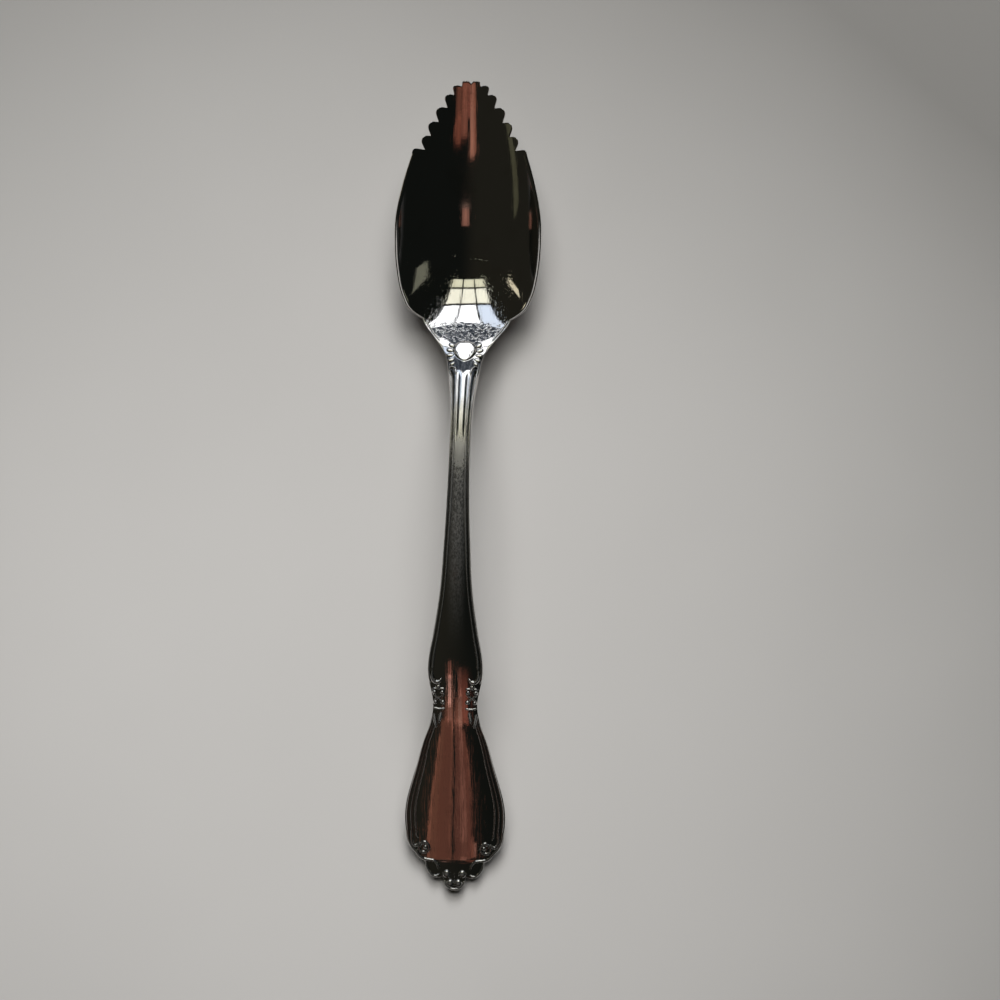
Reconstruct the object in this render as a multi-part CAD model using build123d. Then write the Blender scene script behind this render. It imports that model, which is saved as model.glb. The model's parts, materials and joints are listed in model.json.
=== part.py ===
from build123d import *
import os
from math import asin, cos, pi, sin, sqrt, tan

# Grapefruit spoon in stainless steel: one blank, rolled, dished, coined and serrated.
# It lies as on a table, with the bowl's underside and the end of the handle on z = 0. +Y points from the handle
# to the serrated nose, +X goes across, +Z points up out of the bowl. The blank is divided across its length where
# its section changes, and the pieces meet face to face.

# Lengths of the sections along the spoon, from the nose of the bowl to the end of the handle
tip_length = 14.8
bowl_length = 33.0
neck_length = 10.7
stem_length = 57.0
waist_length = 14.0
panel_length = 23.0
end_length = 12.5

# Bowl. Shares run from the notch at the neck to the widest place, and from there to the shoulder of the teeth
bowl_width = 29.8
bowl_foot_width = 18.4
bowl_widest_share = 0.49
bowl_deepest_share = 0.43
bowl_base_shares = ((0.0, 0.0), (0.1, 0.4), (0.2, 0.62), (0.33, 0.78), (0.6, 0.93), (1.0, 1.0))
bowl_side_shares = ((0.25, 0.01), (0.5, 0.06), (0.75, 0.14), (1.0, 0.23))
bowl_wall = 1.2
bowl_depth = 6.8
rim_width = 0.6
heel_wall = 1.9
heel_rise = 3.1
heel_dish = 1.8
heel_rise_power = 2.15
nose_rise = 8.0
nose_rise_power = 1.4
nose_section_radius = 13.0
shoulder_rim_rise = 0.9

# Teeth. A crest has its place along the tip and its half width, as shares of the tip's length and of the bowl's
# half width, and its share of the radius. The root after it has its place along the chord to the next crest, and its
# share of the depth
crest_shares = (
    (0.068, 0.765),
    (0.25, 0.701),
    (0.446, 0.601),
    (0.642, 0.493),
    (0.821, 0.369),
    (0.943, 0.252),
    (1.0, 0.117),
)
crest_round_shares = (0.7, 1.0, 1.0, 1.0, 0.76, 0.57, 0.4)
root_shares = ((0.26, 0.92), (0.37, 0.93), (0.36, 0.94), (0.455, 0.92), (0.555, 0.685), (0.77, 0.38))
tooth_depth = 2.3
crest_radius = 1.05
root_radius = 0.15
nose_notch_depth = 0.45
nose_notch_width = 1.0
tooth_margin = 0.9

# Neck, which flares into the bowl
flare_width = 17.9
neck_width = 6.4
flare_shares = ((0.0, 0.0), (0.1, 0.09), (0.2, 0.28), (0.34, 0.54), (0.49, 0.78), (0.65, 0.92), (0.8, 0.97), (1.0, 1.0))
neck_rise = 6.4
neck_crown = 0.3

# Ornament of the neck. Each place is a share of the neck's foot width and of the neck's length from the notch, and
# each oval has its half sizes as shares of that width and its turn as a share of a full turn
relief_height = 0.25
ribbon_width = 0.5
shield_shares = ((0.0, 0.44), (0.14, 0.465), (0.28, 0.49), (0.32, 0.57), (0.3, 0.68), (0.2, 0.77), (0.0, 0.83))
shell_shares = (
    (0.42, 0.5, 0.13, 0.065, 0.1),
    (0.46, 0.6, 0.13, 0.065, 0.04),
    (0.45, 0.7, 0.12, 0.065, -0.02),
    (0.41, 0.795, 0.11, 0.06, -0.08),
)
arc_shares = ((0.5, 0.91), (0.4, 0.915), (0.3, 0.94), (0.24, 0.985), (0.235, 1.1))

# Stem
stem_width = 4.25
stem_foot_width = 10.6
stem_narrow_share = 0.25
taper_shares = ((0.17, 0.33), (0.38, 0.72), (0.71, 0.97))
swell_shares = ((0.28, 0.05), (0.51, 0.19), (0.61, 0.26), (0.74, 0.42), (0.85, 0.62), (0.93, 0.81))
stem_thickness = 2.9
arch_share = 0.39
arch_height = 15.45
stem_crest_height = 17.35
stem_crest_share = 0.52
stem_foot_height = 14.2
stem_border = 0.85
ridge_width = 1.2
ridge_height = 0.3
ridge_share = 0.42
inner_thread_shares = ((0.34, -0.02), (0.33, 0.05), (0.3, 0.1))

# Waist, pinched above the panel
bulge_width = 11.1
bulge_share = 0.23
bulge_shares = ((0.3, 0.2), (0.54, 0.54), (0.7, 0.82))
waist_width = 8.95
pinch_share = 0.76
waist_thickness = 2.4
waist_crown = 0.35

# Ornament of the waist, in shares of its width and length: the hook that ends the stem's thread, the beads of the
# collar and the two leaves under them
hook_shares = (
    (0.53, -0.1),
    (0.545, 0.07),
    (0.565, 0.22),
    (0.54, 0.32),
    (0.47, 0.38),
    (0.4, 0.37),
    (0.35, 0.31),
)
collar_shares = (
    (0.31, 0.54, 0.06, 0.05, 0.0),
    (0.44, 0.54, 0.06, 0.05, 0.0),
    (0.31, 0.68, 0.06, 0.05, 0.0),
    (0.43, 0.68, 0.055, 0.05, 0.0),
    (0.33, 0.87, 0.04, 0.14, 0.03),
    (0.44, 0.88, 0.038, 0.14, -0.02),
)

# Panel, the broad lower part of the handle
panel_top_width = 10.1
panel_top_height = 10.4
panel_width = 20.6
panel_shares = ((0.06, 0.06), (0.18, 0.24), (0.3, 0.36), (0.43, 0.51), (0.55, 0.65), (0.67, 0.78), (0.8, 0.91))
panel_broad_share = 0.9
panel_crown = 0.7
panel_top_border = 1.0
panel_border = 2.3
panel_threads = 3
thread_height = 0.24
thread_flank_share = 0.3

# End of the handle: a scrolled shoulder and a lobe on each side, and the finial. Each place is a share of the
# end's length and of the panel's half width
end_width = 20.3
end_top_height = 4.0
end_mid_height = 2.4
end_thickness = 1.9
finial_thickness = 1.8
corner_shares = (0.256, 0.889)
shoulder_shares = (0.464, 0.705)
hollow_shares = (0.56, 0.57)
lobe_shares = (0.69, 0.49)
lobe_foot_shares = (0.789, 0.357)
nick_shares = (0.76, 0.24)
finial_shares = (0.824, 0.217)
finial_side_shares = (0.93, 0.165)

# Ornament of the end, in shares of the panel's width and of the end's length: the threads that turn in and curl, the
# rims of the lobes, and the beads
scroll_shares = (
    ((0.472, -0.1), (0.46, 0.1), (0.425, 0.24), (0.37, 0.35), (0.31, 0.44), (0.25, 0.47), (0.2, 0.475), (0.16, 0.53)),
    ((0.43, -0.1), (0.42, 0.11), (0.39, 0.23), (0.35, 0.31), (0.31, 0.36)),
    ((0.39, -0.1), (0.382, 0.1), (0.365, 0.19)),
    ((0.265, 0.59), (0.225, 0.69), (0.175, 0.755), (0.135, 0.72)),
)
boss_shares = (
    (0.288, 0.27, 0.055, 0.055, 0.0),
    (0.07, 0.73, 0.04, 0.04, 0.0),
    (0.042, 0.885, 0.036, 0.036, 0.0),
)

# Back of the handle: how far its edges lie above its middle
heel_back_rise = 1.6
stem_back_rise = 0.8
waist_back_rise = 0.5

overrun = 3.0

# How many even steps each part's sections take. The skin runs straight from section to section
tip_steps_count = 14
bowl_steps_count = 17
neck_steps_count = 8
stem_steps_count = 16
waist_steps_count = 5
panel_steps_count = 5
end_steps_count = 3
oval_sides_count = 6

# Stations along Y
total_length = tip_length + bowl_length + neck_length + stem_length + waist_length + panel_length + end_length
y_nose = total_length / 2
y_shoulder = y_nose - tip_length
y_notch = y_shoulder - bowl_length
y_stem = y_notch - neck_length
y_waist = y_stem - stem_length
y_panel = y_waist - waist_length
y_end = y_panel - panel_length
y_finial = y_end - end_length


def between(start, finish, share):
    """The value that lies a share of the way from start to finish."""
    return start + share * (finish - start)


def points_between(first, last, shares):
    """Points (y, value) between two such points, from pairs of shares of the way and of the change."""
    return [(between(first[0], last[0], way), between(first[1], last[1], change)) for way, change in shares]


def stations(y0, y1, steps):
    """Evenly spaced places from y0 to y1."""
    return [between(y0, y1, i / steps) for i in range(steps + 1)]


def smooth(line, y):
    """Value at y on the smooth line through (y, value) points that run from the nose towards the handle's end."""
    final = len(line) - 1
    if y >= line[0][0]:
        return line[0][1]
    if y <= line[final][0]:
        return line[final][1]
    slopes = []
    for i in range(final + 1):
        before, after = line[max(i - 1, 0)], line[min(i + 1, final)]
        slopes.append((after[1] - before[1]) / (after[0] - before[0]))
    i = next(k for k in range(final) if line[k + 1][0] <= y)
    (y0, v0), (y1, v1) = line[i], line[i + 1]
    span = y1 - y0
    t = (y - y0) / span
    start = v0 * (1 + 2 * t) * (1 - t) ** 2 + slopes[i] * span * t * (1 - t) ** 2
    finish = v1 * t**2 * (3 - 2 * t) + slopes[i + 1] * span * t**2 * (t - 1)
    return start + finish


y_widest = between(y_notch, y_shoulder, bowl_widest_share)
y_deepest = between(y_notch, y_shoulder, bowl_deepest_share)
y_narrow = between(y_stem, y_waist, stem_narrow_share)
y_crest = between(y_stem, y_waist, stem_crest_share)
y_arch = between(y_stem, y_crest, arch_share)
y_bulge = between(y_waist, y_panel, bulge_share)
y_pinch = between(y_waist, y_panel, pinch_share)
y_broad = between(y_panel, y_end, panel_broad_share)
y_mid_end = between(y_end, y_finial, shoulder_shares[0])
notch_height = bowl_wall + heel_rise

# Half widths of the bowl and of the handle
widest = (y_widest, bowl_width / 2)
bowl_line = points_between(widest, (y_shoulder, 0), bowl_side_shares)[::-1]
bowl_line += points_between((y_notch, bowl_foot_width / 2), widest, bowl_base_shares)[::-1]
crests = [(between(y_shoulder, y_nose, along), wide * bowl_width / 2) for along, wide in crest_shares]
crest_line = [*crests[::-1], bowl_line[0]]
neck_foot = (y_stem, neck_width / 2)
narrowest = (y_narrow, stem_width / 2)
stem_foot = (y_waist, stem_foot_width / 2)
bulge = (y_bulge, bulge_width / 2)
pinch = (y_pinch, waist_width / 2)
panel_top = (y_panel, panel_top_width / 2)
broadest = (y_broad, panel_width / 2)
handle_line = points_between((y_notch, flare_width / 2), neck_foot, flare_shares)
handle_line += points_between(neck_foot, narrowest, taper_shares) + [narrowest]
handle_line += points_between(narrowest, stem_foot, swell_shares) + [stem_foot, bulge]
handle_line += points_between(bulge, pinch, bulge_shares) + [pinch, panel_top]
handle_line += points_between(panel_top, broadest, panel_shares) + [broadest, (y_end, end_width / 2)]

# Middle line of the handle's top, its thickness there, and how far its edges lie below the middle on top and
# above it on the back
top_line = [
    (y_notch, notch_height),
    (y_stem, notch_height + neck_rise),
    (y_arch, arch_height),
    (y_crest, stem_crest_height),
    (y_waist, stem_foot_height),
    (y_panel, panel_top_height),
    (y_end, end_top_height),
    (y_mid_end, end_mid_height),
    (y_finial, finial_thickness),
]
thickness_line = [
    (y_notch, heel_wall),
    (y_stem, stem_thickness),
    (y_crest, stem_thickness),
    (y_waist, waist_thickness),
    (y_panel, waist_thickness),
    (y_end, end_thickness),
    (y_finial, finial_thickness),
]
crown_line = [
    (y_notch, -heel_dish),
    (y_stem, neck_crown),
    (y_crest, neck_crown),
    (y_waist, waist_crown),
    (y_panel, waist_crown),
    (y_end, panel_crown),
    (y_finial, panel_crown),
]
back_line = [
    (y_notch, heel_back_rise),
    (y_stem, stem_back_rise),
    (y_crest, stem_back_rise),
    (y_waist, waist_back_rise),
    (y_panel, waist_back_rise),
    (y_end, 0),
]
ridge_line = [(y_stem, ridge_height), (between(y_stem, y_waist, ridge_share), ridge_height), (y_crest, 0)]
border_line = [(y_panel, panel_top_border), (y_broad, panel_border), (y_end, panel_border)]


def half_width(y):
    """Half width of the handle at y."""
    return smooth(handle_line, y)


def top_height(y, x):
    """Height of the handle's plain top surface."""
    return smooth(top_line, y) - smooth(crown_line, y) * (x / half_width(y)) ** 2


def back_height(y, x):
    """Height of the handle's back."""
    return smooth(top_line, y) - smooth(thickness_line, y) + smooth(back_line, y) * (x / half_width(y)) ** 2


def strip(y, x0, x1, surface):
    """Curve across the handle that follows a surface from x0 to x1."""
    x, z0, z1 = (x0 + x1) / 2, surface(y, x0), surface(y, x1)
    return Bezier((x0, y, z0), (x, y, 2 * surface(y, x) - (z0 + z1) / 2), (x1, y, z1))


def thread(y, x0, x1, height):
    """Raised thread across from x0 to x1: its two flanks and its flat top."""
    xs = [x0, between(x0, x1, thread_flank_share), between(x1, x0, thread_flank_share), x1]
    points = [(x, y, top_height(y, x) + lift) for x, lift in zip(xs, (0, height, height, 0))]
    return [Line(a, b) for a, b in zip(points, points[1:])]


def handle_section(y, places, lifts):
    """Section of the handle at y. The top goes through the places from right to left, raised where a lift is given."""
    right, left = places[0], places[-1]
    edges = []
    for x0, x1, lift in zip(places, places[1:], lifts):
        edges += [strip(y, x0, x1, top_height)] if lift is None else thread(y, x0, x1, lift)
    edges.append(Line((left, y, top_height(y, left)), (left, y, back_height(y, left))))
    edges.append(strip(y, left, right, back_height))
    edges.append(Line((right, y, back_height(y, right)), (right, y, top_height(y, right))))
    return Face(Wire(edges))


def both_sides(places):
    """Places across the handle from right to left, from those of the right half."""
    return [*places, *(-x for x in reversed(places))]


def plain_section(y):
    """Section of the handle at y with nothing raised on it."""
    return handle_section(y, both_sides([half_width(y)]), [None])


def drawn(shares, width, y0, y1):
    """Plan points from pairs of shares, of a width and of the way from y0 to y1."""
    return [(across * width, between(y0, y1, along)) for across, along in shares]


def flat_face(points):
    """Flat face inside plan points."""
    return Face(Wire(Polyline(*points, close=True).edges()))


def oval(shares, width, y0, y1):
    """Face of an oval with straight sides, from the shares of its place, its half sizes and its turn."""
    across, along, wide, long, turn_share = shares
    x0, y = across * width, between(y0, y1, along)
    turn = 2 * pi * turn_share
    points = []
    for i in range(oval_sides_count):
        angle = 2 * pi * i / oval_sides_count
        out, up = wide * width * cos(angle), long * width * sin(angle)
        points.append((x0 + out * cos(turn) - up * sin(turn), y + out * sin(turn) + up * cos(turn)))
    return flat_face(points)


def ribbon(path):
    """Face of even width along plan points."""
    final, right, left = len(path) - 1, [], []
    for i, (x, y) in enumerate(path):
        (x0, y0), (x1, y1) = path[max(i - 1, 0)], path[min(i + 1, final)]
        reach = ribbon_width / 2 / sqrt((x1 - x0) ** 2 + (y1 - y0) ** 2)
        right.append((x + reach * (y1 - y0), y - reach * (x1 - x0)))
        left.append((x - reach * (y1 - y0), y + reach * (x1 - x0)))
    return flat_face([*right, *left[::-1]])


def struck(solid, plain, outlines, height):
    """The solid with its top raised, along its plain surface, inside outlines that stand alike on both sides."""
    lifted = plain.moved(Location((0, 0, height)))
    for outline in outlines:
        punch = extrude(outline, y_nose, dir=(0, 0, 1))
        solid += lifted & punch
        solid += lifted & punch.mirror(Plane.YZ)
    return solid


def arc_across(y, reach, bottom, radius):
    """Round curve across the bowl at y, out to the same reach on both sides of its lowest point."""
    turn = asin(reach / radius)
    grip = 4 / 3 * radius * tan(turn / 2)
    rise = bottom + radius * (1 - cos(turn))
    x, z = reach - grip * cos(turn), rise - grip * sin(turn)
    return Bezier((-reach, y, rise), (-x, y, z), (x, y, z), (reach, y, rise))


def dish_section(y, inner, outer):
    """Section of the bowl's sheet at y between an inner and an outer arc."""
    right = Line(inner @ 1, outer @ 1)
    left = Line(outer @ 0, inner @ 0)
    return Face(Wire([inner, right, outer, left]))


def floor_height(y):
    """Height of the inside of the bowl on its middle line."""
    if y > y_deepest:
        return bowl_wall + nose_rise * ((y - y_deepest) / (y_nose - y_deepest)) ** nose_rise_power
    return bowl_wall + heel_rise * ((y_deepest - y) / (y_deepest - y_notch)) ** heel_rise_power


def rim_height(y):
    """Height of the bowl's rim, from the notch over the widest place to the shoulder."""
    level = bowl_wall + bowl_depth
    line = [(y_shoulder, level + shoulder_rim_rise), (y_widest, level), (y_notch, notch_height + heel_dish)]
    return smooth(line, y)


def wall_at(y):
    """Thickness of the bowl's wall on its middle line."""
    return between(bowl_wall, heel_wall, max(0, (y_deepest - y) / (y_deepest - y_notch)))


def radius_through(reach, depth):
    """Radius of the arc that is as deep as given between two points, each the reach from its middle."""
    return (reach**2 + depth**2) / (2 * depth)


def bowl_radii(y):
    """Radii across the bowl at y, of its inside and of its outside."""
    half, rim, floor = smooth(bowl_line, y), rim_height(y), floor_height(y)
    return radius_through(half - rim_width, rim - floor), radius_through(half, rim - floor + wall_at(y))


def make_bowl():
    """Dished sheet with a flat rim, from the neck to the shoulder where the teeth begin."""
    sections = []
    for y in stations(y_notch, y_shoulder, bowl_steps_count):
        half, floor = smooth(bowl_line, y), floor_height(y)
        inside, outside = bowl_radii(y)
        inner = arc_across(y, half - rim_width, floor, inside)
        outer = arc_across(y, half, floor - wall_at(y), outside)
        sections.append(dish_section(y, inner, outer))
    return loft(sections, ruled=True)


def teeth_outline():
    """Outline of the serrated nose: a stair of round-topped teeth up each side, with a notch between the last two."""
    points, radii = [(crests[0][1], y_shoulder - overrun)], []
    for (y0, x0), (y1, x1), (along, deep), round_share in zip(crests, crests[1:], root_shares, crest_round_shares):
        chord = sqrt((x1 - x0) ** 2 + (y1 - y0) ** 2)
        depth = deep * tooth_depth / chord
        points += [(x0, y0), (between(x0, x1, along) - depth * (y1 - y0), between(y0, y1, along) + depth * (x1 - x0))]
        radii += [round_share * crest_radius, root_radius]
    points += [(crests[-1][1], y_nose), (nose_notch_width / 2, y_nose), (0, y_nose - nose_notch_depth)]
    radii += [crest_round_shares[-1] * crest_radius, root_radius, root_radius]
    right = FilletPolyline(*points, *[(-x, y) for x, y in reversed(points[:-1])], radius=radii + radii[-2::-1])
    return Face(Wire([*right.edges(), Line(right @ 1, right @ 0)]))


def make_serrated_tip():
    """Nose of the bowl's sheet, with its edge cut into teeth."""
    inside, outside = bowl_radii(y_shoulder)
    sections = []
    for y in stations(y_shoulder, y_nose, tip_steps_count):
        share = (y - y_shoulder) / tip_length
        reach = smooth(crest_line, y) + tooth_margin
        inner = arc_across(y, reach, floor_height(y), between(inside, nose_section_radius, share))
        outside_radius = between(outside, nose_section_radius + bowl_wall, share)
        outer = arc_across(y, reach, floor_height(y) - bowl_wall, outside_radius)
        sections.append(dish_section(y, inner, outer))
    sheet = loft(sections, ruled=True)
    return sheet & extrude(teeth_outline(), y_nose, dir=(0, 0, 1))


def make_neck():
    """Neck that gathers the foot of the bowl into the stem, with a shield between two shells struck on it."""
    plain = loft([plain_section(y) for y in stations(y_notch, y_stem, neck_steps_count)], ruled=True)
    lobes = [oval(shares, neck_width, y_notch, y_stem) for shares in shell_shares]
    arc = ribbon(drawn(arc_shares, neck_width, y_notch, y_stem))
    right = drawn(shield_shares, neck_width, y_notch, y_stem)
    left = [(-x, y) for x, y in right[-2:0:-1]]
    solid = struck(plain, plain, [*lobes, arc], relief_height)
    shield = extrude(flat_face([*right, *left]), y_nose, dir=(0, 0, 1))
    return solid + (plain.moved(Location((0, 0, relief_height))) & shield)


def make_stem():
    """Stem with a thread along each edge, a ridge along the middle of its upper part and a short thread beside it."""
    sections = []
    for y in stations(y_stem, y_waist, stem_steps_count):
        half = half_width(y)
        places = both_sides([half, half - stem_border, ridge_width / 2])
        lifts = [thread_height, None, smooth(ridge_line, y), None, thread_height]
        sections.append(handle_section(y, places, lifts))
    threaded = loft(sections, ruled=True)
    plain = loft([plain_section(y) for y in stations(y_stem, y_waist, stem_steps_count)], ruled=True)
    inner = ribbon(drawn(inner_thread_shares, stem_width, y_stem, y_waist))
    return struck(threaded, plain, [inner], thread_height)


def make_waist():
    """Waist between the stem and the panel, with the hooks, the collar and its leaves struck on it."""
    plain = loft([plain_section(y) for y in stations(y_waist, y_panel, waist_steps_count)], ruled=True)
    hook = ribbon(drawn(hook_shares, waist_width, y_waist, y_panel))
    collar = [oval(shares, waist_width, y_waist, y_panel) for shares in collar_shares]
    return struck(plain, plain, [hook, *collar], relief_height)


def make_panel():
    """Crowned panel with raised threads along both edges."""
    sections = []
    for y in stations(y_panel, y_end, panel_steps_count):
        half, border = half_width(y), smooth(border_line, y)
        places = both_sides([half - border * i / panel_threads for i in range(panel_threads + 1)])
        threads = [thread_height] * panel_threads
        sections.append(handle_section(y, places, [*threads, None, *threads]))
    return loft(sections, ruled=True)


def end_point(shares):
    """Place on the outline of the handle's end, from its shares."""
    return (shares[1] * panel_width / 2, between(y_end, y_finial, shares[0]))


def end_outline():
    """Outline of the handle's end: shoulders, lobes and finial, alike on both sides."""
    right = Wire(
        [
            Line((end_width / 2, y_end + overrun), (end_width / 2, y_end)),
            ThreePointArc((end_width / 2, y_end), end_point(corner_shares), end_point(shoulder_shares)),
            Line(end_point(shoulder_shares), end_point(hollow_shares)),
            ThreePointArc(end_point(hollow_shares), end_point(lobe_shares), end_point(lobe_foot_shares)),
            Line(end_point(lobe_foot_shares), end_point(nick_shares)),
            Line(end_point(nick_shares), end_point(finial_shares)),
            ThreePointArc(end_point(finial_shares), end_point(finial_side_shares), (0, y_finial)),
        ]
    )
    left = right.mirror(Plane.YZ)
    return Face(Wire([*right.edges(), *left.edges(), Line(left @ 0, right @ 0)]))


def make_end():
    """Scrolled end of the handle, with its lobes and the finial, and the scrolls, rims and beads struck on it."""
    wide = both_sides([end_width / 2 + overrun])
    slab = loft([handle_section(y, wide, [None]) for y in stations(y_end, y_finial, end_steps_count)], ruled=True)
    solid = slab & extrude(end_outline(), y_nose, dir=(0, 0, 1))
    scrolls = [ribbon(drawn(shares, panel_width, y_end, y_finial)) for shares in scroll_shares]
    bosses = [oval(shares, panel_width, y_end, y_finial) for shares in boss_shares]
    return struck(solid, slab, [*scrolls, *bosses], relief_height)


parts = {
    "serrated_tip": make_serrated_tip(),
    "bowl": make_bowl(),
    "neck": make_neck(),
    "stem": make_stem(),
    "waist": make_waist(),
    "handle_panel": make_panel(),
    "handle_end": make_end(),
}

os.makedirs("parts", exist_ok=True)
for name, solid in parts.items():
    export_step(solid, f"parts/{name}.step")
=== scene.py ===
"""Grapefruit spoon in polished stainless steel, lying bowl up on a pale table.

Sizes are in millimetres along the spoon's own axes: +Y towards the serrated nose, +X across, +Z up out of the
bowl. Meshes are written in metres. The seven sections of the blank share one set of smooth surfaces, so that
reflections run from one to the next.
"""

from __future__ import annotations

import json
import logging
from dataclasses import dataclass, field
from enum import Enum
from math import atan2, cos, pi, radians, sin, tan

import bmesh
import bpy
import numpy as np
from mathutils import Matrix, Vector

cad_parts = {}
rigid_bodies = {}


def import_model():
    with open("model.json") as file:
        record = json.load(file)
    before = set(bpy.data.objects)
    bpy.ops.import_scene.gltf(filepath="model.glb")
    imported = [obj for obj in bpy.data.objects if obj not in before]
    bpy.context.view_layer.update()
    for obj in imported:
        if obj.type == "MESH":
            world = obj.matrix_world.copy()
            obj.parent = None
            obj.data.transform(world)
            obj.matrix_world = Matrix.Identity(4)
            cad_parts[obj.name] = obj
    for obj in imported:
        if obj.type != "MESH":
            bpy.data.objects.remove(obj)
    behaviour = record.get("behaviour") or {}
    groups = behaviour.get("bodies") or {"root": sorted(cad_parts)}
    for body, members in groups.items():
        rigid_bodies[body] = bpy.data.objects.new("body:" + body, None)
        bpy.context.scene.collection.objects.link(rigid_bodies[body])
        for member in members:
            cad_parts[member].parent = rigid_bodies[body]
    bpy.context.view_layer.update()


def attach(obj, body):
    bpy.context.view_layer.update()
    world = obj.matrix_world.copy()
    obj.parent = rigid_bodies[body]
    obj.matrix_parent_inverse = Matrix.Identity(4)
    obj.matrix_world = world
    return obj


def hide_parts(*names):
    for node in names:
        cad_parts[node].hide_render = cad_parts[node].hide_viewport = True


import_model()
MM = 0.001
log = logging.getLogger("grapefruit_spoon")


class Section(Enum):
    """The seven sections of the blank, named as in the frame."""

    TIP = "serrated_tip"
    BOWL = "bowl"
    NECK = "neck"
    STEM = "stem"
    WAIST = "waist"
    PANEL = "handle_panel"
    END = "handle_end"


class Side(Enum):
    """The two sides of the spoon, as a factor on X."""

    LEFT = -1.0
    RIGHT = 1.0


class Line:
    """A line through (place, value) points whose curvature never jumps, as a flexed batten lies."""

    def __init__(self, points: tuple[tuple[float, float], ...]) -> None:
        """Fits the batten.

        Args:
            points: Pairs of place and value, in any order.
        """
        ordered = sorted(points)
        self.places = np.array([p[0] for p in ordered], float)
        self.values = np.array([p[1] for p in ordered], float)
        steps = np.diff(self.places)
        rates = np.diff(self.values) / steps
        count = len(ordered)
        matrix, right = np.eye(count), np.zeros(count)
        for i in range(1, count - 1):
            matrix[i, i - 1 : i + 2] = steps[i - 1], 2 * (steps[i - 1] + steps[i]), steps[i]
            right[i] = 6 * (rates[i] - rates[i - 1])
        self.bends = np.linalg.solve(matrix, right)

    def __call__(self, place: np.ndarray | float) -> np.ndarray:
        """Values on the line.

        Args:
            place: Where the line is read.

        Returns:
            The values there, held level past both ends.
        """
        x = np.clip(np.asarray(place, float), self.places[0], self.places[-1])
        i = np.clip(np.searchsorted(self.places, x) - 1, 0, len(self.places) - 2)
        step = self.places[i + 1] - self.places[i]
        a, b = (self.places[i + 1] - x) / step, (x - self.places[i]) / step
        curve = (a**3 - a) * self.bends[i] + (b**3 - b) * self.bends[i + 1]
        return a * self.values[i] + b * self.values[i + 1] + curve * step**2 / 6


def ease(low: float, high: float, value: np.ndarray) -> np.ndarray:
    """Smooth step from 0 below low to 1 above high.

    Args:
        low: Where the step starts.
        high: Where it ends.
        value: What is tested.

    Returns:
        The share of the step.
    """
    t = np.clip((value - low) / (high - low), 0, 1)
    return t * t * (3 - 2 * t)


def arc_rise(bend: np.ndarray, x: np.ndarray) -> np.ndarray:
    """Rise of a round section above its middle.

    Args:
        bend: One over the radius, positive where the section is hollow.
        x: Distance from the middle.

    Returns:
        The rise, negative where the section is crowned.
    """
    return bend * x**2 / (1 + np.sqrt(np.maximum(1 - (bend * x) ** 2, 0.02)))


def path_through(points: list[tuple[float, float]], step: float = 0.12) -> np.ndarray:
    """Smooth plane path through points.

    Args:
        points: Plane points (x, y), in order.
        step: Spacing of the result.

    Returns:
        Evenly spaced points, one a row.
    """
    given = np.array(points, float)
    along = np.concatenate([[0], np.cumsum(np.hypot(*np.diff(given, axis=0).T))])
    xs, ys = Line(tuple(zip(along, given[:, 0]))), Line(tuple(zip(along, given[:, 1])))
    at = np.linspace(0, along[-1], max(4, int(along[-1] / step) + 1))
    return np.column_stack([xs(at), ys(at)])


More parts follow.
